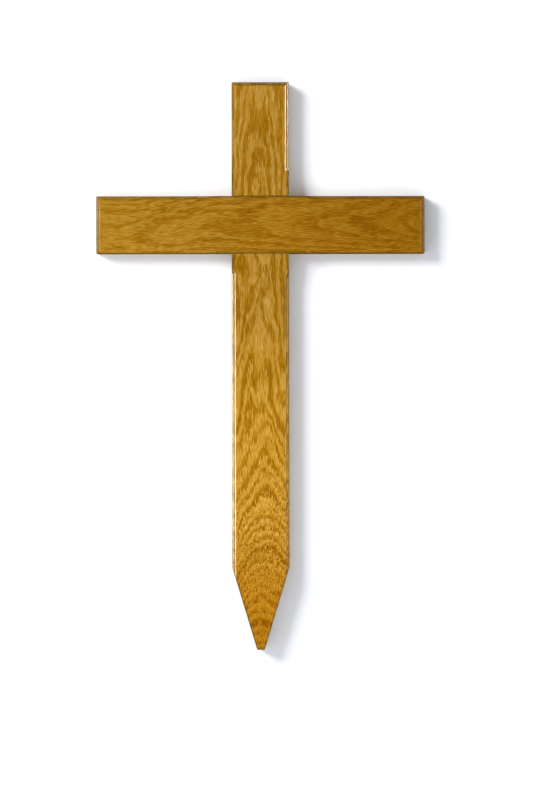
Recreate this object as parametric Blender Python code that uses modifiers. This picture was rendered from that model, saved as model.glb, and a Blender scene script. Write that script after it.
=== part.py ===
"""A wooden grave cross: a pointed post and a crossbar, halved into each other.

A moulding of two small rounds with a narrow step between them runs along the
front edges. It was cut by a bit with a guide bearing and stopped short of the
crossing, so it runs out in a curve there. The point was sawn after it.

Metres, +Z up. The front faces -Y. The origin is on the post's axis, midway
through its thickness, at the height where the point starts. The ground comes
up to there.
"""

import math

import bmesh
import bpy
from mathutils import Matrix, Vector

# The two strips
POST_WIDTH = 0.0615
BAR_HEIGHT = 0.0615
THICKNESS = 0.0200
HEAD_LENGTH = 0.1225  # of the post above the crossbar
SHAFT_LENGTH = 0.3375  # from the crossbar's underside down to the point
POINT_LENGTH = 0.0885
TIP_WIDTH = 0.0080
BAR_LENGTH = 0.3530
BACK_EASING = 0.0008  # chamfer on the plain back edges

# The joint: each strip is housed to half its thickness
LAP_GAP = 0.0003

# The moulding, from the face outwards
INNER_ROUND = 0.0022
STEP_WIDTH = 0.0005
OUTER_ROUND = 0.0022
ROUND_SWEEP = math.radians(80)
BEARING_RADIUS = 0.0080

# Where the moulding's last trace ends, measured from the crossing
HEAD_STOP_LEFT = 0.0225
HEAD_STOP_RIGHT = 0.0205
SHAFT_STOP_LEFT = 0.0132
SHAFT_STOP_RIGHT = 0.0168
ARM_STOP_LEFT = 0.0170
ARM_STOP_RIGHT = 0.0155

# Facets of each round, and of the bit's quarter turn where a pass stops
ROUND_FACETS = 4
TURN_FACETS = 12
SHARP_ANGLE = math.radians(30)

# How far a cutter reaches past what it cuts, and how far the bit's curve runs
# on above the face and out beyond the side
OVERCUT = 0.0020
CURVE_RUN_ON = 0.0002
WELD = 0.00001

# Colours of the varnished oak, in sRGB steps of 0 to 255
POST_COLOUR = (184, 137, 46)
BAR_COLOUR = (168, 120, 34)
VARNISH_ROUGHNESS = 0.35

BAR_UNDERSIDE = SHAFT_LENGTH
BAR_TOP = BAR_UNDERSIDE + BAR_HEIGHT
POST_TOP = BAR_TOP + HEAD_LENGTH


def clear_scene():
    for obj in list(bpy.data.objects):
        bpy.data.objects.remove(obj, do_unlink=True)


def new_collection(name):
    collection = bpy.data.collections.new(name)
    bpy.context.scene.collection.children.link(collection)
    return collection


def linear(step):
    """The linear value of one sRGB step."""
    value = step / 255
    return value / 12.92 if value <= 0.04045 else ((value + 0.055) / 1.055) ** 2.4


def varnished_oak(name, colour):
    material = bpy.data.materials.new(name)
    material.use_nodes = True
    shader = material.node_tree.nodes["Principled BSDF"]
    shader.inputs["Base Color"].default_value = (*map(linear, colour), 1)
    shader.inputs["Roughness"].default_value = VARNISH_ROUGHNESS
    shader.inputs["Metallic"].default_value = 0
    return material


def place(mesh, name, collection):
    obj = bpy.data.objects.new(name, mesh)
    collection.objects.link(obj)
    return obj


def mark_as_cutter(cutter):
    cutter.hide_render = True
    cutter.display_type = "WIRE"


def box(name, low, high, collection):
    """A box between two corners, with its origin in its middle."""
    size = [top - bottom for bottom, top in zip(low, high)]
    shape = bmesh.new()
    bmesh.ops.create_cube(shape, size=1, matrix=Matrix.Diagonal((*size, 1)))
    mesh = bpy.data.meshes.new(name)
    shape.to_mesh(mesh)
    shape.free()
    obj = place(mesh, name, collection)
    obj.location = [(bottom + top) / 2 for bottom, top in zip(low, high)]
    return obj


def board(name, outline, collection):
    """A flat outline, given as (across, up) points, as a board with its front facing -Y."""
    curve = bpy.data.curves.new(name, "CURVE")
    curve.dimensions = "2D"
    curve.fill_mode = "BOTH"
    curve.extrude = THICKNESS / 2
    spline = curve.splines.new("POLY")
    spline.points.add(len(outline) - 1)
    for point, (across, up) in zip(spline.points, outline):
        point.co = (across, up, 0, 1)
    spline.use_cyclic_u = True
    drawn = place(curve, name + "_outline", collection)
    drawn.rotation_euler = (math.radians(90), 0, 0)
    bpy.context.view_layer.update()
    graph = bpy.context.evaluated_depsgraph_get()
    mesh = bpy.data.meshes.new_from_object(drawn.evaluated_get(graph))
    shape = bmesh.new()
    shape.from_mesh(mesh)
    bmesh.ops.remove_doubles(shape, verts=shape.verts, dist=WELD)
    shape.to_mesh(mesh)
    shape.free()
    mesh.shade_flat()
    made = place(mesh, name, collection)
    made.matrix_world = drawn.matrix_world
    bpy.data.objects.remove(drawn, do_unlink=True)
    return made


def ease_back_edges(piece):
    """A small chamfer on the edges that bound the back face."""
    mesh = piece.data
    weights = mesh.attributes.new("bevel_weight_edge", "FLOAT", "EDGE")
    for edge in mesh.edges:
        ends = [piece.matrix_world @ mesh.vertices[index].co for index in edge.vertices]
        weights.data[edge.index].value = float(all(end.y > 0 for end in ends))
    easing = piece.modifiers.new("Back easing", "BEVEL")
    easing.limit_method = "WEIGHT"
    easing.offset_type = "OFFSET"
    easing.width = BACK_EASING
    easing.segments = 1


def cut(piece, cutter):
    mark_as_cutter(cutter)
    boolean = piece.modifiers.new(cutter.name, "BOOLEAN")
    boolean.operation = "DIFFERENCE"
    boolean.solver = "EXACT"
    boolean.object = cutter


def moulding_width():
    return (INNER_ROUND + OUTER_ROUND) * math.sin(ROUND_SWEEP) + STEP_WIDTH


def moulding_profile():
    """(distance in from the side, depth below the face) points, from the face outwards."""
    points = []
    across, depth = moulding_width(), 0.0
    for radius in (INNER_ROUND, OUTER_ROUND):
        for facet in range(ROUND_FACETS + 1):
            turn = ROUND_SWEEP * facet / ROUND_FACETS
            points.append((across - radius * math.sin(turn), depth + radius * (1 - math.cos(turn))))
        across = points[-1][0] - STEP_WIDTH
        depth = points[-1][1]
    return points


def bit_section():
    """(radius, height above the face) points of the bit's half section, from top to bottom.

    The first and last facets of the moulding run on past the wood, so that the
    bit meets the face and the side at an angle.
    """
    cutting = [(BEARING_RADIUS + inset, -depth) for inset, depth in moulding_profile()]
    first_slope = math.tan(ROUND_SWEEP / ROUND_FACETS / 2)
    last_slope = math.tan(ROUND_SWEEP - ROUND_SWEEP / ROUND_FACETS / 2)
    radius, height = cutting[0]
    cutting[0] = (radius + CURVE_RUN_ON / first_slope, height + CURVE_RUN_ON)
    radius, height = cutting[-1]
    cutting[-1] = (radius - CURVE_RUN_ON, height - CURVE_RUN_ON * last_slope)
    top, bottom = OVERCUT, cutting[-1][1]
    return [(0, top), (cutting[0][0], top), *cutting, (0, bottom)]


def pass_sections(edge, stops_at_start, stops_at_end):
    """Where the bit's half section stands along a pass, as (axis point, reach) pairs.

    edge lists (across, up) points of the outline, with the wood on the right of
    the way they run. The section reaches into the wood, on the mitre at a
    corner. Where the pass stops, it turns a quarter about the bit's axis.
    """
    edge = [Vector(point) for point in edge]
    runs = [(end - start).normalized() for start, end in zip(edge, edge[1:])]
    inward = [Vector((run.y, -run.x)) for run in runs]
    turns = [math.radians(90) * facet / TURN_FACETS for facet in range(1, TURN_FACETS + 1)]
    sections = []
    axis = edge[0] - BEARING_RADIUS * inward[0]
    if stops_at_start:
        for turn in reversed(turns):
            sections.append((axis, math.cos(turn) * inward[0] - math.sin(turn) * runs[0]))
    sections.append((axis, inward[0]))
    for corner, before, after in zip(edge[1:-1], inward, inward[1:]):
        mitre = (before + after) / (1 + before.dot(after))
        sections.append((corner - BEARING_RADIUS * mitre, mitre))
    axis = edge[-1] - BEARING_RADIUS * inward[-1]
    sections.append((axis, inward[-1]))
    if stops_at_end:
        for turn in turns:
            sections.append((axis, math.cos(turn) * inward[-1] + math.sin(turn) * runs[-1]))
    return sections


def router_pass(name, edge, stops_at_start, stops_at_end, collection):
    """A cutter: what the bit takes away as its bearing follows an edge of the front face."""
    section = bit_section()
    shape = bmesh.new()
    rings = []
    for axis, reach in pass_sections(edge, stops_at_start, stops_at_end):
        ring = []
        for radius, height in section:
            across, up = axis + radius * reach
            ring.append(shape.verts.new((across, -THICKNESS / 2 - height, up)))
        rings.append(ring)
    for ring, following in zip(rings, rings[1:]):
        for i in range(len(section)):
            shape.faces.new((ring[i - 1], ring[i], following[i], following[i - 1]))
    shape.faces.new(rings[0])
    shape.faces.new(reversed(rings[-1]))
    bmesh.ops.remove_doubles(shape, verts=shape.verts, dist=WELD)
    bmesh.ops.recalc_face_normals(shape, faces=shape.faces)
    mesh = bpy.data.meshes.new(name)
    shape.to_mesh(mesh)
    shape.free()
    mesh.shade_smooth()
    mesh.set_sharp_from_angle(angle=SHARP_ANGLE)
    return place(mesh, name, collection)


def run_out_length():
    """Along an edge, from the moulding's last trace to where the bit stood."""
    reach = BEARING_RADIUS + moulding_width()
    return math.sqrt(reach**2 - BEARING_RADIUS**2)


def weld_slivers(piece):
    weld = piece.modifiers.new("Weld", "WELD")
    weld.merge_threshold = WELD


def build_post(parts, cutters):
    half = POST_WIDTH / 2
    tip = TIP_WIDTH / 2
    outline = [(-tip, -POINT_LENGTH), (tip, -POINT_LENGTH), (half, 0)]
    outline += [(half, POST_TOP), (-half, POST_TOP), (-half, 0)]
    post = board("post", outline, parts)
    ease_back_edges(post)

    past_side = half + OVERCUT
    low = (-past_side, -THICKNESS / 2 - OVERCUT, BAR_UNDERSIDE - LAP_GAP)
    high = (past_side, LAP_GAP / 2, BAR_TOP + LAP_GAP)
    cut(post, box("post_housing", low, high, cutters))

    left = BAR_TOP + HEAD_STOP_LEFT + run_out_length()
    right = BAR_TOP + HEAD_STOP_RIGHT + run_out_length()
    edge = [(-half, left), (-half, POST_TOP), (half, POST_TOP), (half, right)]
    cut(post, router_pass("head_pass", edge, True, True, cutters))

    off_the_point = -POINT_LENGTH - OVERCUT
    left = BAR_UNDERSIDE - SHAFT_STOP_LEFT - run_out_length()
    edge = [(-half, off_the_point), (-half, left)]
    cut(post, router_pass("shaft_pass_left", edge, False, True, cutters))
    right = BAR_UNDERSIDE - SHAFT_STOP_RIGHT - run_out_length()
    edge = [(half, right), (half, off_the_point)]
    cut(post, router_pass("shaft_pass_right", edge, True, False, cutters))
    weld_slivers(post)
    return post


def build_crossbar(parts, cutters):
    half = BAR_LENGTH / 2
    outline = [(-half, BAR_UNDERSIDE), (half, BAR_UNDERSIDE), (half, BAR_TOP), (-half, BAR_TOP)]
    crossbar = board("crossbar", outline, parts)
    ease_back_edges(crossbar)

    past_post = POST_WIDTH / 2 + LAP_GAP
    low = (-past_post, -LAP_GAP / 2, BAR_UNDERSIDE - OVERCUT)
    high = (past_post, THICKNESS / 2 + OVERCUT, BAR_TOP + OVERCUT)
    cut(crossbar, box("crossbar_housing", low, high, cutters))

    inner = POST_WIDTH / 2 + ARM_STOP_LEFT + run_out_length()
    edge = [(-inner, BAR_UNDERSIDE), (-half, BAR_UNDERSIDE), (-half, BAR_TOP), (-inner, BAR_TOP)]
    cut(crossbar, router_pass("arm_pass_left", edge, True, True, cutters))
    inner = POST_WIDTH / 2 + ARM_STOP_RIGHT + run_out_length()
    edge = [(inner, BAR_TOP), (half, BAR_TOP), (half, BAR_UNDERSIDE), (inner, BAR_UNDERSIDE)]
    cut(crossbar, router_pass("arm_pass_right", edge, True, True, cutters))
    weld_slivers(crossbar)
    return crossbar


def main():
    clear_scene()
    parts = new_collection("grave_cross")
    cutters = new_collection("cutters")
    post = build_post(parts, cutters)
    post.data.materials.append(varnished_oak("post_oak", POST_COLOUR))
    crossbar = build_crossbar(parts, cutters)
    crossbar.data.materials.append(varnished_oak("crossbar_oak", BAR_COLOUR))


main()
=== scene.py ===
"""The looks of the wooden grave cross: two varnished oak strips on a white studio wall.

Each strip is a fine mesh that stands for its solid, with the same moulding, run-outs and
halved joint, and softly eased edges. The oak is solid: growth rings about a pith behind the
board, broken up by fibres, dashes and pores, so that faces, sides and ends agree.
"""

import math

import bmesh
import bpy
import numpy as np
from mathutils import Matrix, Vector


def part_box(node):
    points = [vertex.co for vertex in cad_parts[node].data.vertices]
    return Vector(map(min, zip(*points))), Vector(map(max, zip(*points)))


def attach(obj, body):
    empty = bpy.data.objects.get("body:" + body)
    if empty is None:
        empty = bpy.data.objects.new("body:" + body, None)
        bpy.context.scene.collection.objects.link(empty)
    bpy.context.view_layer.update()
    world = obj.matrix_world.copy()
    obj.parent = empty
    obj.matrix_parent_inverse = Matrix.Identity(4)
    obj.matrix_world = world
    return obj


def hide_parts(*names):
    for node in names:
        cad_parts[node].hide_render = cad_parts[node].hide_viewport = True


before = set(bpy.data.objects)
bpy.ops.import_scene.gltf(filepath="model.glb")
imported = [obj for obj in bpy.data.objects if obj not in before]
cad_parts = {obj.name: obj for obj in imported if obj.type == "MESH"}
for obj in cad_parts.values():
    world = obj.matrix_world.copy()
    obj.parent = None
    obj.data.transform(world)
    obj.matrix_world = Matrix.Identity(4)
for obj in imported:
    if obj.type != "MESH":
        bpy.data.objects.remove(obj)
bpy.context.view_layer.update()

# The two strips, from the solids
POST_LOW, POST_HIGH = (Vector(corner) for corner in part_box("post"))
BAR_LOW, BAR_HIGH = (Vector(corner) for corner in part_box("crossbar"))
POST_WIDTH = POST_HIGH.x - POST_LOW.x
THICKNESS = POST_HIGH.y - POST_LOW.y
BAR_HEIGHT = BAR_HIGH.z - BAR_LOW.z
BAR_MIDDLE = (BAR_HIGH.z + BAR_LOW.z) / 2
TIP_WIDTH = 0.0080
LAP_GAP = 0.0003

# The moulding, from the face outwards, and the bit that cut it
INNER_ROUND = 0.0022
STEP_WIDTH = 0.0005
OUTER_ROUND = 0.0022
ROUND_SWEEP = math.radians(80)
BEARING_RADIUS = 0.0080

# Where the moulding's last trace ends, measured from the crossing
HEAD_STOP_LEFT = 0.0225
HEAD_STOP_RIGHT = 0.0205
SHAFT_STOP_LEFT = 0.0132
SHAFT_STOP_RIGHT = 0.0168
ARM_STOP_LEFT = 0.0170
ARM_STOP_RIGHT = 0.0155

# Easing of the edges
FRONT_EASING = 0.00035
BACK_EASING = 0.0008
EASING_STEPS = 6

# Bands of painted shade: a little in the moulding's corner, and fully at the edges
CORNER_BAND = 0.0005
CORNER_PAINTED_SHADE = 0.1
EDGE_BAND = 0.0016

# Fineness of the meshes
ROUND_STEPS = 9
FACE_COLUMNS = 18
ROW_SPACING = 0.0028
SHARP_ANGLE = math.radians(32)
WELD = 0.000002
OVERCUT = 0.0020


def moulding_width():
    return (INNER_ROUND + OUTER_ROUND) * math.sin(ROUND_SWEEP) + STEP_WIDTH


def run_out_length():
    """Along an edge, from the moulding's last trace to where the bit stood."""
    reach = BEARING_RADIUS + moulding_width()
    return math.sqrt(reach**2 - BEARING_RADIUS**2)


def moulding_insets():
    """How far in from the side the moulding's bends lie, from the side inwards."""
    turns = np.linspace(ROUND_SWEEP, 0, ROUND_STEPS)
    outer = OUTER_ROUND * (math.sin(ROUND_SWEEP) - np.sin(turns))
    inner = INNER_ROUND * (math.sin(ROUND_SWEEP) - np.sin(turns))
    return np.concatenate([outer, outer[-1] + STEP_WIDTH + inner])


def bends_past_easing():
    """The bends that lie further in than the easing of the back edges."""
    insets = moulding_insets()
    return insets[insets > BACK_EASING]


def moulding_depth(inset):
    """Depth below the face, at a distance in from where the bearing ran."""
    reach = math.sin(ROUND_SWEEP)
    inner = np.clip(moulding_width() - inset, 0, INNER_ROUND * reach)
    outer = np.clip(OUTER_ROUND * reach - inset, 0, OUTER_ROUND * reach)
    inner_depth = INNER_ROUND - np.sqrt(INNER_ROUND**2 - inner**2)
    return inner_depth + OUTER_ROUND - np.sqrt(OUTER_ROUND**2 - outer**2)


def eased_depth(offset, radius):
    """Depth below the face of a round of this radius along an edge."""
    inside = np.clip(1 - offset / radius, 0, 1)
    return radius * (1 - np.sqrt(1 - inside**2))


def easing_offsets():
    return BACK_EASING * (1 - np.cos(np.linspace(0, math.pi / 2, EASING_STEPS + 1)))


class Strip:
    """A moulded strip in its own coordinates: across its face, and along it."""

    def __init__(self, width, start, end):
        self.half = width / 2
        self.start = start
        self.end = end
        self.moulded_start = False
        self.moulded_end = False
        self.passes = []
        self.point_length = 0.0

    def add_pass(self, side, stop, runs_up):
        """A pass of the bit on one side (-1 or 1), from where its axis stopped to an end."""
        self.passes.append((side, stop, 1 if runs_up else -1))

    def half_width(self, along):
        """Half the width there: the point narrows below the shoulders at 0."""
        if not self.point_length:
            return np.full_like(along, self.half)
        lost = (self.half - TIP_WIDTH / 2) * np.clip(-along, 0, None) / self.point_length
        return self.half - lost

    def inset(self, across, along):
        """The least distance from where the bearing ran, round the ends of its passes too."""
        least = np.full_like(across, np.inf)
        for side, stop, way in self.passes:
            past = np.maximum(way * (stop - along), 0)
            reach = BEARING_RADIUS + self.half - side * across
            least = np.minimum(least, np.hypot(reach, past) - BEARING_RADIUS)
        if self.moulded_start:
            least = np.minimum(least, along - self.start)
        if self.moulded_end:
            least = np.minimum(least, self.end - along)
        return least

    def painted_shade(self, across, along, to_edge):
        """How much painted shade each point of the front takes, from 0 to 1."""
        # A faint painted shade in the moulding's corner, and a full one along the front edges
        corner = OUTER_ROUND * math.sin(ROUND_SWEEP) + STEP_WIDTH
        from_corner = (self.inset(across, along) - corner) / CORNER_BAND
        in_corner = CORNER_PAINTED_SHADE * np.exp(-from_corner**2)
        return np.maximum(in_corner, np.clip(1 - to_edge / EDGE_BAND, 0, 1))

    def bend_places(self, side, along):
        """Distance in from one side of each of the moulding's bends, one column a bend."""
        insets = bends_past_easing()
        places = np.zeros((len(along), len(insets)))
        for pass_side, stop, way in self.passes:
            if pass_side != side:
                continue
            past = np.maximum(way * (stop - along), 0)[:, None]
            square = (BEARING_RADIUS + insets) ** 2 - past**2
            places = np.maximum(places, np.sqrt(np.maximum(square, 0)) - BEARING_RADIUS)
        return places

    def rows(self):
        """Places along the strip that take a row of points."""
        insets = moulding_insets()
        offsets = np.concatenate([easing_offsets(), bends_past_easing()])
        places = [self.start + (offsets if self.moulded_start else easing_offsets())]
        places.append(self.end - (offsets if self.moulded_end else easing_offsets()))
        bends = np.sqrt((BEARING_RADIUS + insets) ** 2 - BEARING_RADIUS**2)
        between = np.linspace(0, bends[-1], 2 * len(bends))
        for _, stop, way in self.passes:
            places.append(stop - way * np.concatenate([bends, between]))
        if self.point_length:
            slope = self.point_length / (self.half - TIP_WIDTH / 2)
            places.append(-slope * np.concatenate([insets, [0]]))
        fixed = np.unique(np.round(np.concatenate(places), 7))
        filled = [fixed[:1]]
        for low, high in zip(fixed, fixed[1:]):
            count = max(1, math.ceil((high - low) / ROW_SPACING))
            filled.append(np.linspace(low, high, count + 1)[1:])
        return np.concatenate(filled)

    def columns(self, along):
        """Places across the strip, one row of them for each place along it."""
        half = self.half_width(along)[:, None]
        edge = np.broadcast_to(easing_offsets(), (len(along), EASING_STEPS + 1))
        sides = []
        for side in (-1, 1):
            bends = self.half - self.bend_places(side, along)
            bends = np.minimum(bends, half - BACK_EASING)
            sides.append(np.hstack([half - edge, bends]))
        left, right = -sides[0], sides[1]
        share = np.linspace(0, 1, FACE_COLUMNS + 2)[1:-1]
        middle = left[:, -1:] * (1 - share) + right[:, -1:] * share
        return np.hstack([left, middle, right[:, ::-1]])

    def round_corners(self, across, along):
        """Rounds the outline's square corners, and the rings inside them, to the easing."""
        half = self.half_width(along)
        for end, way in ((self.start, 1), (self.end, -1)):
            in_u = half - np.abs(across)
            in_v = way * (along - end)
            ring, place = np.minimum(in_u, in_v), np.maximum(in_u, in_v)
            near = place < BACK_EASING
            radius = BACK_EASING - ring
            share = np.where(near, (place - ring) / np.maximum(radius, 1e-9), 0)
            turn = math.radians(45) * (1 + share)
            far = BACK_EASING - radius * np.cos(turn)
            close = BACK_EASING - radius * np.sin(turn)
            new_u = np.where(in_u < in_v, close, far)
            new_v = np.where(in_u < in_v, far, close)
            across = np.where(near, np.sign(across) * (half - new_u), across)
            along = np.where(near, end + way * new_v, along)
        return across, along


def rim(grid):
    """The points round the edge of a grid of points, in order."""
    left, right = [line[0] for line in grid], [line[-1] for line in grid]
    return left + grid[-1][1:-1] + right[::-1] + grid[0][-2:0:-1]


def skin(shape, grid, corner, rear):
    """Faces over a grid of points. The outer cells on each corner's mitre are split along it."""
    last_row, last_column = len(grid) - 1, len(grid[0]) - 1
    for i in range(last_row):
        for j in range(last_column):
            ring = [grid[i][j], grid[i][j + 1], grid[i + 1][j + 1], grid[i + 1][j]]
            if rear:
                ring.reverse()
            in_u, in_v = min(j, last_column - 1 - j), min(i, last_row - 1 - i)
            if in_u != in_v or in_u >= corner:
                shape.faces.new(ring)
                continue
            rising = (j < corner) == (i < corner)
            halves = ((0, 1, 2), (0, 2, 3)) if rising != rear else ((1, 2, 3), (1, 3, 0))
            for half in halves:
                shape.faces.new([ring[k] for k in half])


def strip_mesh(name, strip, put):
    """The strip as a closed mesh, with its painted shade kept at its points.

    put turns (across, depth from the middle, along) into a place.
    """
    rows = strip.rows()
    across = strip.columns(rows)
    along = np.broadcast_to(rows[:, None], across.shape)
    to_side = strip.half_width(along) - np.abs(across)
    to_end = np.minimum(along - strip.start, strip.end - along)
    to_edge = np.minimum(to_side, to_end)
    moulded = moulding_depth(strip.inset(across, along))
    front = np.maximum(moulded, eased_depth(to_edge, FRONT_EASING))
    back = eased_depth(to_edge, BACK_EASING)
    painted_shade = strip.painted_shade(across, along, to_edge)
    across, along = strip.round_corners(across, along)
    shape = bmesh.new()
    painted_shade_layer = shape.verts.layers.float.new("painted_shade")
    grids = []
    for depth, amount in ((front - THICKNESS / 2, painted_shade), (THICKNESS / 2 - back, painted_shade * 0)):
        grid = [[shape.verts.new(put(u, d, v)) for u, d, v in zip(*line)]
                for line in zip(across, depth, along)]
        for points, shares in zip(grid, amount):
            for point, share in zip(points, shares):
                point[painted_shade_layer] = share
        grids.append(grid)
    corner = EASING_STEPS + 1 + len(bends_past_easing())
    for grid, rear in zip(grids, (False, True)):
        skin(shape, grid, corner, rear)

    # A ring of clean points behind the front edge keeps its painted shade off the sides
    front_rim, rear_rim = map(rim, grids)
    behind = [shape.verts.new(point.co + Vector((0, EDGE_BAND, 0))) for point in front_rim]
    for near, far in ((front_rim, behind), (behind, rear_rim)):
        for k in range(len(near)):
            shape.faces.new((near[k - 1], near[k], far[k], far[k - 1]))
    bmesh.ops.remove_doubles(shape, verts=shape.verts, dist=WELD)
    bmesh.ops.dissolve_degenerate(shape, edges=shape.edges, dist=WELD)
    bmesh.ops.recalc_face_normals(shape, faces=shape.faces)
    mesh = bpy.data.meshes.new(name)
    shape.to_mesh(mesh)
    shape.free()
    mesh.shade_smooth()
    return mesh


def add_object(mesh, name):
    obj = bpy.data.objects.new(name, mesh)
    bpy.context.scene.collection.objects.link(obj)
    return obj


def housed(piece, low, high):
    """The piece with a box taken out of it, and normals that keep its flat faces flat."""
    shape = bmesh.new()
    size = [top - bottom for bottom, top in zip(low, high)]
    middle = [(top + bottom) / 2 for bottom, top in zip(low, high)]
    stance = Matrix.Translation(middle) @ Matrix.Diagonal((*size, 1))
    bmesh.ops.create_cube(shape, size=1, matrix=stance)
    mesh = bpy.data.meshes.new("housing")
    shape.to_mesh(mesh)
    shape.free()
    cutter = add_object(mesh, "housing")
    boolean = piece.modifiers.new("Housing", "BOOLEAN")
    boolean.operation = "DIFFERENCE"
    boolean.solver = "EXACT"
    boolean.object = cutter
    bpy.context.view_layer.update()
    graph = bpy.context.evaluated_depsgraph_get()
    cut = bpy.data.meshes.new_from_object(piece.evaluated_get(graph))
    piece.modifiers.clear()
    piece.data = cut
    bpy.data.objects.remove(cutter, do_unlink=True)
    cut.shade_smooth()
    cut.set_sharp_from_angle(angle=SHARP_ANGLE)
    weighted = piece.modifiers.new("Weighted normals", "WEIGHTED_NORMAL")
    weighted.keep_sharp = True
    return piece


def make_post():
    strip = Strip(POST_WIDTH, POST_LOW.z, POST_HIGH.z)
    strip.point_length = -POST_LOW.z
    strip.moulded_end = True
    stop = run_out_length()
    strip.add_pass(-1, BAR_HIGH.z + HEAD_STOP_LEFT + stop, True)
    strip.add_pass(1, BAR_HIGH.z + HEAD_STOP_RIGHT + stop, True)
    strip.add_pass(-1, BAR_LOW.z - SHAFT_STOP_LEFT - stop, False)
    strip.add_pass(1, BAR_LOW.z - SHAFT_STOP_RIGHT - stop, False)
    mesh = strip_mesh("post_fine", strip, lambda u, d, v: (u, d, v))
    past_side = POST_WIDTH / 2 + OVERCUT
    low = (-past_side, -THICKNESS / 2 - OVERCUT, BAR_LOW.z - LAP_GAP)
    high = (past_side, LAP_GAP / 2, BAR_HIGH.z + LAP_GAP)
    return housed(add_object(mesh, "post_fine"), low, high)


def make_crossbar():
    strip = Strip(BAR_HEIGHT, BAR_LOW.x, BAR_HIGH.x)
    strip.moulded_start = strip.moulded_end = True
    stop = POST_WIDTH / 2 + run_out_length()
    for side in (-1, 1):
        strip.add_pass(side, -stop - ARM_STOP_LEFT, False)
        strip.add_pass(side, stop + ARM_STOP_RIGHT, True)
    mesh = strip_mesh("crossbar_fine", strip, lambda u, d, v: (v, d, BAR_MIDDLE + u))
    past_post = POST_WIDTH / 2 + LAP_GAP
    low = (-past_post, -LAP_GAP / 2, BAR_LOW.z - OVERCUT)
    high = (past_post, THICKNESS / 2 + OVERCUT, BAR_HIGH.z + OVERCUT)
    return housed(add_object(mesh, "crossbar_fine"), low, high)


class Value:
    """A number worked out by shader nodes, written with ordinary arithmetic."""

    def __init__(self, socket):
        self.socket = socket

    def maths(self, operation, *items, swap=False):
        tree = self.socket.id_data
        node = tree.nodes.new("ShaderNodeMath")
        node.operation = operation
        items = (self, *items)
        for slot, item in zip(node.inputs, reversed(items) if swap else items):
            feed(slot, item)
        return Value(node.outputs[0])

    def __add__(self, other):
        return self.maths("ADD", other)

    def __radd__(self, other):
        return self.maths("ADD", other)

    def __sub__(self, other):
        return self.maths("SUBTRACT", other)

    def __rsub__(self, other):
        return self.maths("SUBTRACT", other, swap=True)

    def __mul__(self, other):
        return self.maths("MULTIPLY", other)

    def __truediv__(self, other):
        return self.maths("DIVIDE", other)

    def __abs__(self):
        return self.maths("ABSOLUTE")

    def root(self):
        return self.maths("SQRT")

    def fraction(self):
        return self.maths("FRACT")

    def rise(self, low, high):
        """0 below low, 1 above high and smooth between them. It falls where low is above high."""
        node = self.socket.id_data.nodes.new("ShaderNodeMapRange")
        node.interpolation_type = "SMOOTHSTEP"
        for slot, item in zip(node.inputs, (self, min(low, high), max(low, high))):
            feed(slot, item)
        rising = Value(node.outputs[0])
        return rising if low < high else 1 - rising

    def curve(self, points):
        """A smooth curve through (input, output) points."""
        tree = self.socket.id_data
        inputs, outputs = zip(*points)
        low, high = min(outputs), max(outputs)
        node = tree.nodes.new("ShaderNodeFloatCurve")
        drawn = node.mapping.curves[0]
        while len(drawn.points) < len(points):
            drawn.points.new(0.5, 0.5)
        start, span = inputs[0], inputs[-1] - inputs[0]
        for dot, (place, height) in zip(drawn.points, points):
            dot.location = ((place - start) / span, (height - low) / (high - low))
        node.mapping.update()
        feed(node.inputs["Value"], (self - start) / span)
        return Value(node.outputs[0]) * (high - low) + low


def feed(slot, item):
    if isinstance(item, Value):
        slot.id_data.links.new(item.socket, slot)
    else:
        slot.default_value = item


def combine(across, through, along):
    node = across.socket.id_data.nodes.new("ShaderNodeCombineXYZ")
    for slot, item in zip(node.inputs, (across, through, along)):
        feed(slot, item)
    return Value(node.outputs[0])


def separate(vector):
    node = vector.socket.id_data.nodes.new("ShaderNodeSeparateXYZ")
    feed(node.inputs[0], vector)
    return [Value(output) for output in node.outputs]


def times(vector, factor):
    node = vector.socket.id_data.nodes.new("ShaderNodeVectorMath")
    node.operation = "MULTIPLY"
    feed(node.inputs[0], vector)
    feed(node.inputs[1], factor)
    return Value(node.outputs[0])


def scaled(vector, factor, shift):
    """The vector times a factor and then shifted, axis by axis."""
    node = vector.socket.id_data.nodes.new("ShaderNodeVectorMath")
    node.operation = "MULTIPLY_ADD"
    for slot, item in zip(node.inputs, (vector, factor, shift)):
        feed(slot, item)
    return Value(node.outputs[0])


def noise(place, size, detail, seed):
    """Soft noise about 0, half a unit at most. size is that of its blobs, axis by axis."""
    node = place.socket.id_data.nodes.new("ShaderNodeTexNoise")
    factor = [1 / length for length in size]
    feed(node.inputs["Vector"], scaled(place, factor, (seed, seed / 2, -seed)))
    node.inputs["Scale"].default_value = 1
    node.inputs["Detail"].default_value = detail
    return Value(node.outputs[0]) - 0.5


def patch_of_figure(place, across, along, half_width, half_length, strength):
    """A soft elliptical patch, of this strength in its middle and half of it at its edge."""
    factor = (1 / half_width, 0, 1 / half_length)
    spot = scaled(place, factor, (-across / half_width, 0, -along / half_length))
    square = place.socket.id_data.nodes.new("ShaderNodeVectorMath")
    square.operation = "DOT_PRODUCT"
    feed(square.inputs[0], spot)
    feed(square.inputs[1], spot)
    return Value(square.outputs["Value"]).maths("POWER", 0.5, swap=True) * strength


def linear(step):
    """The linear value of one sRGB step."""
    value = step / 255
    return value / 12.92 if value <= 0.04045 else ((value + 0.055) / 1.055) ** 2.4


def colour_ramp(tone, stops):
    """A colour for each tone from 0 to 1, through (tone, sRGB colour) stops."""
    tree = tone.socket.id_data
    node = tree.nodes.new("ShaderNodeValToRGB")
    while len(node.color_ramp.elements) < len(stops):
        node.color_ramp.elements.new(0.5)
    for element, (place, colour) in zip(node.color_ramp.elements, stops):
        element.position = place
        element.color = (*map(linear, colour), 1)
    feed(node.inputs[0], tone)
    return Value(node.outputs[0])


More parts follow.
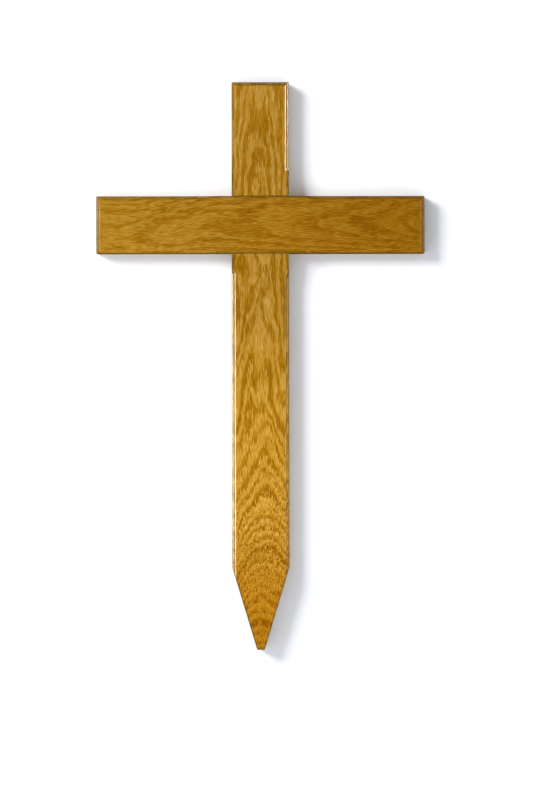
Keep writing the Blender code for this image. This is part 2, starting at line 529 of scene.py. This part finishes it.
def blend_colour(share, colour, tint):
    node = share.socket.id_data.nodes.new("ShaderNodeMix")
    node.data_type = "RGBA"
    feed(node.inputs[0], share)
    feed(node.inputs[6], colour)
    feed(node.inputs[7], tint)
    return Value(node.outputs[2])


# Colours of the stained oak, from its darkest pores to its palest late wood
OAK_TONES = [
    (0.0, (148, 92, 0)),
    (0.25, (176, 119, 4)),
    (0.5, (200, 144, 31)),
    (0.75, (225, 172, 68)),
    (1.0, (246, 203, 114)),
]
MIDDLE_TONE = 0.5

# Sizes in the oak. Three values lie across, through and along the grain.
RING_WIDTH = 0.0024
RING_UNEVENNESS_SIZE = 0.0050
STRAND_WIDTH = 0.0040
PORE_SIZE = (0.00040, 0.00040, 0.0065)
SWELL_SIZE = (0.030, 0.030, 0.110)
WAVE_SIZE = (0.010, 0.010, 0.035)
PEAK_SOFTNESS = 0.0030
PATCH_RAGGEDNESS = 0.0030
PATCH_RING_SHIFT = 0.0040

# Strand length, fine fibres' width and length, and patches' fray, as shares of the board's
STRAND_LENGTH = 2.5
FINE_WIDTH = 0.8
FINE_LENGTH = 0.6
PATCH_FRAY = 1.5

# The early wood: where in a ring it comes and goes, and how unevenly
EARLY_WOOD_COMES = (0.0, 0.1)
EARLY_WOOD_GOES = (0.75, 0.25)
EARLY_WOOD_FULL = 0.85
UNEVENNESS = 0.8

# How patches and early wood change the dashes and pores, and these the tone
DASH_SOFTNESS = 0.1
PATCH_DASHES = 0.35
PORES_IN_EARLY_WOOD = 0.12
PORE_RANGE = (0.19, 0.27)
MEAN_EARLY_WOOD = 0.4
MEAN_DASHES = 0.3
PORE_DARKNESS = 0.12
PATCH_TONE = 0.25

# Painted shade at the edges and in the moulding's corner takes this share of each of red, green
# and blue, and is patchy
PAINTED_SHADE_LOSS = (0.75, 0.63, 0.2)
PAINTED_SHADE_PATCHINESS = 0.8

# Each unit of warmth takes this share of green and blue, and warm wood more of its green
WARM_GREEN_LOSS = 0.03
WARM_BLUE_LOSS = 0.6
ADDED_GREEN_LOSS = 0.05
END_GRAIN_FACING = (0.2, 0.85)

# The varnish
ROUGHNESS = 0.12
FINE_ROUGHNESS = 0.04
PORE_ROUGHNESS = 0.05
RELIEF_STRENGTH = 0.5
RELIEF_DEPTH = 0.00006
FINE_RELIEF = 0.5
PORE_RELIEF = 0.3


def grain(board, across, through, along):
    """The board's figure as a tone from 0 to 1, and its strands, fine fibres and pores."""
    seed, width, length = board["seed"], board["fibre_width"], board["fibre_length"]

    # The fibres run beside the pith, so they are fixed in place as measured from it
    def from_pith(spot):
        behind = spot.curve(board["pith_depth"]) - THICKNESS / 2
        return across - spot.curve(board["pith_side"]), behind - through

    fibres = combine(*from_pith(along), along)
    fibre = noise(fibres, (width, width, length), 1, seed)
    strand_size = (STRAND_WIDTH, STRAND_WIDTH, length * STRAND_LENGTH)
    strand = noise(fibres, strand_size, 1, seed + 3)
    fine_size = (width * FINE_WIDTH, width * FINE_WIDTH, length * FINE_LENGTH)
    fine = noise(fibres, fine_size, 0, seed + 13)
    pore_noise = noise(fibres, PORE_SIZE, 0, seed + 11)
    fray = fibre * board["fray"]

    ragged = combine(across + strand * PATCH_RAGGEDNESS, through, along + fray * PATCH_FRAY)
    figure = sum(patch_of_figure(ragged, *patch) for patch in board["patches"])

    place = combine(across, through, along)
    swell = noise(place, SWELL_SIZE, 1, seed + 5)
    wave = noise(place, WAVE_SIZE, 1, seed + 7)
    aside, away = from_pith(along + fray)
    peak = (aside * aside + PEAK_SOFTNESS**2).root() * board["peak"]
    radius = (aside * aside + away * away).root() + peak
    radius = radius + swell * board["swell"] + wave * board["wave"] + fibre * board["fringe"]
    radius = radius + figure * PATCH_RING_SHIFT
    uneven = noise(combine(radius, radius, radius), [RING_UNEVENNESS_SIZE] * 3, 0, seed + 17)
    turn = (radius / RING_WIDTH + uneven * UNEVENNESS).fraction()
    porous = turn.rise(*EARLY_WOOD_COMES) * turn.rise(*EARLY_WOOD_GOES)
    porous = porous * (EARLY_WOOD_FULL + uneven * UNEVENNESS)

    crowded = porous * board["dash_rings"] - figure * PATCH_DASHES
    dashes = (fibre + crowded).rise(board["dash_from"], board["dash_from"] + DASH_SOFTNESS)
    pores = (pore_noise + porous * PORES_IN_EARLY_WOOD).rise(*PORE_RANGE)
    tone = (MEAN_EARLY_WOOD - porous) * along.curve(board["ring_contrast"])
    tone = tone + (MEAN_DASHES - dashes) * board["dash_contrast"]
    tone = tone + strand * board["strand_contrast"] + fine * board["fine_contrast"]
    tone = tone - pores * PORE_DARKNESS + figure * PATCH_TONE
    return MIDDLE_TONE + tone * along.curve(board["contrast"]), strand, fine, pores


def toned_with_painted_shade(colour, board, along, patchiness, end_facing):
    """The colour with painted shade, a level that is partly painted light, warmth, and darker end
    grain.
    """
    attribute = along.socket.id_data.nodes.new("ShaderNodeAttribute")
    # The attribute holds painted shade along the front edges and in the moulding's corner, made
    # patchy by the grain
    attribute.attribute_name = "painted_shade"
    painted_shade = Value(attribute.outputs["Fac"]) * (1 + patchiness)
    colour = times(colour, combine(*(1 - painted_shade * loss for loss in PAINTED_SHADE_LOSS)))
    # The level along the board is partly the wood's tone and partly painted light: the crossbar
    # darker towards its right, the post lightest low on its shaft
    tone_and_light_level, warmth = along.curve(board["tone_and_light_level"]), along.curve(board["warmth"])
    green = 1 - warmth * WARM_GREEN_LOSS - (warmth + abs(warmth)) * ADDED_GREEN_LOSS
    blue = 1 - warmth * WARM_BLUE_LOSS
    colour = times(colour, combine(tone_and_light_level, tone_and_light_level * green, tone_and_light_level * blue))
    # End grain is darker: partly from its stain, and partly painted shade, strongest on the post
    # whose end grain faces up and down
    ends = end_facing.rise(*END_GRAIN_FACING)
    return blend_colour(ends, colour, times(colour, board["end_grain_and_shade_tint"]))


def oak(name, board):
    """Solid varnished oak for one board, which gives its grain's axis and its own figure."""
    material = bpy.data.materials.new(name)
    material.use_nodes = True
    tree = material.node_tree
    shader = tree.nodes["Principled BSDF"]
    coordinates = tree.nodes.new("ShaderNodeTexCoord")
    x, y, z = separate(Value(coordinates.outputs["Object"]))
    normal = separate(Value(coordinates.outputs["Normal"]))
    if board["grain"] == "z":
        across, along, end_facing = x, z, abs(normal[2])
    else:
        across, along, end_facing = z - BAR_MIDDLE, x, abs(normal[0])
    tone, strand, fine, pores = grain(board, across, y, along)
    # The grain makes the painted shade patchy
    patchiness = (strand + fine) * PAINTED_SHADE_PATCHINESS
    colour = colour_ramp(tone, OAK_TONES)
    feed(shader.inputs["Base Color"], toned_with_painted_shade(colour, board, along, patchiness, end_facing))
    roughness = ROUGHNESS + fine * FINE_ROUGHNESS + pores * PORE_ROUGHNESS
    feed(shader.inputs["Roughness"], roughness)
    bump = tree.nodes.new("ShaderNodeBump")
    bump.inputs["Strength"].default_value = RELIEF_STRENGTH
    bump.inputs["Distance"].default_value = RELIEF_DEPTH
    feed(bump.inputs["Height"], fine * FINE_RELIEF - pores * PORE_RELIEF)
    feed(shader.inputs["Normal"], Value(bump.outputs[0]))
    return material


# Each board's figure. Curves are (place along the grain, value) points, and each patch is its
# place across and along, half its width and length, and its strength, dark below 0.
POST_BOARD = {
    "grain": "z",
    "seed": 2.0,
    "fibre_width": 0.00095,
    "pith_depth": [(-0.0885, 0.086), (-0.03, 0.098), (0.07, 0.120), (0.126, 0.1275),
                   (0.2, 0.1325), (0.34, 0.138), (0.5215, 0.1425)],
    "pith_side": [(-0.0885, 0.004), (0.02, 0.006), (0.1, 0.003), (0.2, 0.0015), (0.4, -0.002),
                  (0.5215, 0.003)],
    "fibre_length": 0.013,
    "fray": 0.024,
    "peak": 0.13,
    "swell": 0.008,
    "wave": 0.003,
    "fringe": 0.0010,
    "ring_contrast": [(-0.0885, 0.12), (0.02, 0.26), (0.08, 0.23), (0.16, 0.14), (0.3, 0.10),
                      (0.5215, 0.06)],
    "dash_contrast": 0.38,
    "dash_rings": 0.32,
    "dash_from": 0.11,
    "strand_contrast": 0.12,
    "fine_contrast": 0.8,
    # Strong end grain darkening, partly painted shade on the post's top
    "end_grain_and_shade_tint": (0.30, 0.29, 0.27),
    "patches": [
        (0.0047, 0.4895, 0.0032, 0.030, -0.22),
        (0.0080, 0.4733, 0.0043, 0.0075, -0.30),
        (-0.0006, 0.4410, 0.0075, 0.0086, -0.40),
        (0.0209, 0.5056, 0.0032, 0.014, -0.35),
        (-0.0124, 0.4218, 0.0060, 0.006, -0.25),
        (0.0015, 0.4260, 0.0060, 0.006, 0.30),
        (0.0015, 0.4045, 0.0027, 0.0054, -0.35),
        (-0.0230, 0.3260, 0.0065, 0.0097, -0.35),
        (-0.0006, 0.3130, 0.0075, 0.015, 0.28),
        (0.0058, 0.3013, 0.0043, 0.0054, -0.38),
        (0.0069, 0.2830, 0.0027, 0.014, 0.40),
        (-0.0157, 0.2550, 0.0032, 0.014, -0.28),
        (0.0, 0.2206, 0.0060, 0.022, 0.38),
        (-0.0120, 0.2067, 0.0032, 0.015, -0.25),
        (0.0106, 0.2100, 0.0032, 0.015, -0.25),
        (0.0015, 0.0647, 0.0100, 0.005, 0.22),
    ],
    "contrast": [(-0.0885, 0.64), (0.02, 0.95), (0.1, 0.82), (0.2, 0.76), (0.5215, 0.69)],
    # Brightness along the post, partly painted light
    "tone_and_light_level": [(-0.0885, 0.73), (-0.02, 0.82), (0.02, 0.91), (0.07, 0.95), (0.126, 0.945),
              (0.18, 0.915), (0.235, 0.83), (0.29, 0.75), (0.34, 0.76), (0.5215, 0.89)],
    "warmth": [(-0.0885, 1.3), (-0.03, 1.1), (0.02, 0.45), (0.1, 0.1), (0.2, -0.25),
               (0.3, -0.45), (0.5215, -1.25)],
}
BAR_BOARD = {
    "grain": "x",
    "seed": 31.0,
    "fibre_width": 0.0008,
    "pith_depth": [(-0.1765, 0.0985), (-0.146, 0.1), (-0.1, 0.098), (0.0, 0.0955),
                   (0.08, 0.0935), (0.1765, 0.088)],
    "pith_side": [(-0.1765, -0.010), (-0.146, -0.012), (-0.05, 0.002), (0.1, 0.004),
                  (0.1765, 0.006)],
    "fibre_length": 0.013,
    "fray": 0.024,
    "peak": 0.04,
    "swell": 0.005,
    "wave": 0.0014,
    "fringe": 0.0008,
    "ring_contrast": [(-0.1765, 0.07), (0.1765, 0.04)],
    "dash_contrast": 0.26,
    "dash_rings": 0.20,
    "dash_from": 0.07,
    "strand_contrast": 0.08,
    "fine_contrast": 0.75,
    "end_grain_and_shade_tint": (0.92, 0.89, 0.80),
    "patches": [
        (0.0167, -0.1028, 0.0017, 0.015, -0.32),
        (0.0150, -0.0650, 0.0017, 0.017, -0.30),
        (0.0150, -0.0060, 0.0027, 0.011, -0.30),
        (0.0204, 0.0209, 0.0017, 0.024, -0.30),
        (0.0043, -0.1006, 0.0048, 0.013, -0.22),
        (-0.0043, -0.0200, 0.0022, 0.011, -0.28),
        (-0.0086, -0.0350, 0.0022, 0.009, -0.28),
        (0.0065, 0.1015, 0.0043, 0.007, -0.30),
        (0.0086, 0.1338, 0.0032, 0.0065, -0.22),
        (-0.0054, 0.1198, 0.0086, 0.011, -0.18),
    ],
    "contrast": [(-0.1765, 0.83), (0.0, 0.9), (0.1765, 0.76)],
    # Brightness along the crossbar, partly painted light: darker towards its right
    "tone_and_light_level": [(-0.1765, 0.72), (-0.08, 0.71), (0.0, 0.68), (0.1, 0.62), (0.1765, 0.60)],
    "warmth": [(-0.1765, 0.05), (-0.08, 0.2), (0.0, 0.6), (0.1, 1.0), (0.1765, 1.05)],
}

# The photo's view, and the stage
PHOTO_HEIGHT_SHOWN = 0.8593
PHOTO_CENTRE = (0.0069, 0.1798)
CAMERA_DISTANCE = 3.0
SENSOR = 36.0
CAMERA_ROLL = math.radians(0.087)
WALL_GAP = 0.0006
WALL_REACH = 2.0
WALL_TOP = 2.2
FLOOR_REACH = 4.0
FLOOR_HEIGHT = -0.262
STAGE_COLOUR = (0.845, 0.865, 0.895, 1)
STAGE_ROUGHNESS = 0.9
STAGE_GLOW = 0.04
WORLD_STRENGTH = 0.4

# The lights
CROSS_MIDDLE = (0, 0, 0.2)
CARD_COLOUR = (1.0, 0.96, 0.78)
CARD_DISTANCE = 12.0


def look(obj, target):
    obj.rotation_euler = (Vector(target) - obj.location).to_track_quat("-Z", "Y").to_euler()


def area_light(name, place, target, size, radiance, only, diffuse=True, glossy=True):
    """A soft light. only is the collection that it lights."""
    light = bpy.data.lights.new(name, "AREA")
    light.shape = "RECTANGLE"
    light.size, light.size_y = size
    light.energy = radiance * math.pi * size[0] * size[1]
    if not diffuse:
        light.color = CARD_COLOUR
    obj = bpy.data.objects.new(name, light)
    bpy.context.scene.collection.objects.link(obj)
    obj.location = place
    look(obj, target)
    obj.visible_camera = False
    obj.visible_diffuse = diffuse
    obj.visible_glossy = glossy
    obj.light_linking.receiver_collection = only


def card(name, side, angles, heights, radiance, only):
    """A soft card that the mouldings on one side mirror to the camera, at these heights.

    It spans these angles off the camera's axis. It stands so far off that the flat faces
    mirror it only to a camera near their own height.
    """
    middle, spread = math.radians(sum(angles) / 2), math.radians(angles[1] - angles[0])
    past = CARD_DISTANCE / CAMERA_DISTANCE
    low, high = (height + (height - PHOTO_CENTRE[1]) * past for height in heights)
    centre = (low + high) / 2
    spot = (side * CARD_DISTANCE * math.sin(middle), -CARD_DISTANCE * math.cos(middle), centre)
    size = (2 * CARD_DISTANCE * math.tan(spread / 2), high - low)
    area_light(name, spot, (0, 0, centre), size, radiance, only, diffuse=False)


def gather(name, objects):
    collection = bpy.data.collections.new(name)
    bpy.context.scene.collection.children.link(collection)
    for obj in objects:
        collection.objects.link(obj)
    return collection


def studio_white(name):
    """A faintly glowing white that is clear from behind, so the cross shows from there too."""
    material = bpy.data.materials.new(name)
    material.use_nodes = True
    tree = material.node_tree
    shader = tree.nodes["Principled BSDF"]
    shader.inputs["Base Color"].default_value = STAGE_COLOUR
    shader.inputs["Roughness"].default_value = STAGE_ROUGHNESS
    shader.inputs["Specular IOR Level"].default_value = 0.0
    shader.inputs["Emission Color"].default_value = (1, 1, 1, 1)
    shader.inputs["Emission Strength"].default_value = STAGE_GLOW
    clear = tree.nodes.new("ShaderNodeBsdfTransparent")
    geometry = tree.nodes.new("ShaderNodeNewGeometry")
    mix = tree.nodes.new("ShaderNodeMixShader")
    tree.links.new(geometry.outputs["Backfacing"], mix.inputs[0])
    tree.links.new(shader.outputs[0], mix.inputs[1])
    tree.links.new(clear.outputs[0], mix.inputs[2])
    tree.links.new(mix.outputs[0], tree.nodes["Material Output"].inputs["Surface"])
    return material


def plane(name, corners):
    """A white plane of the stage, which the varnish doesn't mirror."""
    mesh = bpy.data.meshes.new(name)
    shape = bmesh.new()
    shape.faces.new([shape.verts.new(corner) for corner in corners])
    shape.to_mesh(mesh)
    shape.free()
    obj = add_object(mesh, name)
    obj.data.materials.append(studio_white(name + "_white"))
    obj.visible_glossy = False
    return obj


def make_stage():
    def ring(reach, low, high):
        return (-reach, low), (reach, low), (reach, high), (-reach, high)

    wall_y = THICKNESS / 2 + WALL_GAP
    wall_ring = ring(WALL_REACH, FLOOR_HEIGHT, WALL_TOP)
    floor_ring = ring(FLOOR_REACH, -FLOOR_REACH, FLOOR_REACH)
    wall = plane("wall", [(x, wall_y, z) for x, z in wall_ring])
    floor = plane("floor", [(x, y, FLOOR_HEIGHT) for x, y in floor_ring])
    wall.visible_shadow = False
    return gather("stage", [wall, floor])


def make_camera():
    camera = bpy.data.cameras.new("camera")
    camera.sensor_width = SENSOR
    camera.lens = SENSOR * CAMERA_DISTANCE / PHOTO_HEIGHT_SHOWN
    obj = bpy.data.objects.new("camera", camera)
    bpy.context.scene.collection.objects.link(obj)
    across, up = PHOTO_CENTRE
    obj.location = (across, -THICKNESS / 2 - CAMERA_DISTANCE, up)
    obj.rotation_euler = (math.radians(90), CAMERA_ROLL, 0)
    bpy.context.scene.camera = obj


def make_lights(post, crossbar, stage):
    world = bpy.data.worlds.new("studio")
    bpy.context.scene.world = world
    world.use_nodes = True
    background = world.node_tree.nodes["Background"]
    background.inputs["Color"].default_value = (1, 1, 1, 1)
    background.inputs["Strength"].default_value = WORLD_STRENGTH
    world.cycles_visibility.glossy = False

    cross = gather("cross", [post, crossbar])
    area_light("cross_key", (-0.6, -0.9, 0.05), CROSS_MIDDLE, size=(0.7, 0.7),
               radiance=3.7, only=cross, glossy=False)
    area_light("shadow_key", (-2.54, -2.15, 1.78), CROSS_MIDDLE, size=(1.45, 1.45),
               radiance=23.0, only=stage)

    # What the mouldings mirror, piece by piece
    upright, bar = gather("upright", [post]), gather("bar", [crossbar])
    card("left_card", -1, (51, 87), heights=(-0.01, 0.355), radiance=30.0, only=upright)
    card("right_card", 1, (51, 87), heights=(0.435, 1.12), radiance=32.0, only=upright)
    card("shaft_card", 1, (29, 87), heights=(-0.01, 0.34), radiance=2.0, only=upright)
    card("bar_card_left", -1, (29, 87), heights=(0.36, 0.435), radiance=10.0, only=bar)
    card("bar_card_right", 1, (29, 87), heights=(0.36, 0.435), radiance=6.0, only=bar)
    area_light("top_card", (0, -0.3, 1.0), (0, -0.299, 0), size=(0.6, 0.6),
               radiance=0.7, only=cross, diffuse=False)

    area_light("back_light", (0.25, 1.9, 1.05), CROSS_MIDDLE, size=(1.2, 1.2),
               radiance=5.0, only=cross, glossy=False)


post = make_post()
crossbar = make_crossbar()
for piece, node, material, slot in (
        (post, "post", oak("post_oak_varnished", POST_BOARD), "post_oak"),
        (crossbar, "crossbar", oak("crossbar_oak_varnished", BAR_BOARD), "crossbar_oak")):
    piece.data.materials.clear()
    piece.data.materials.append(material)
    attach(piece, "root")
    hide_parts(node)
stage = make_stage()
make_camera()
make_lights(post, crossbar, stage)
bpy.context.scene.view_settings.view_transform = "Standard"
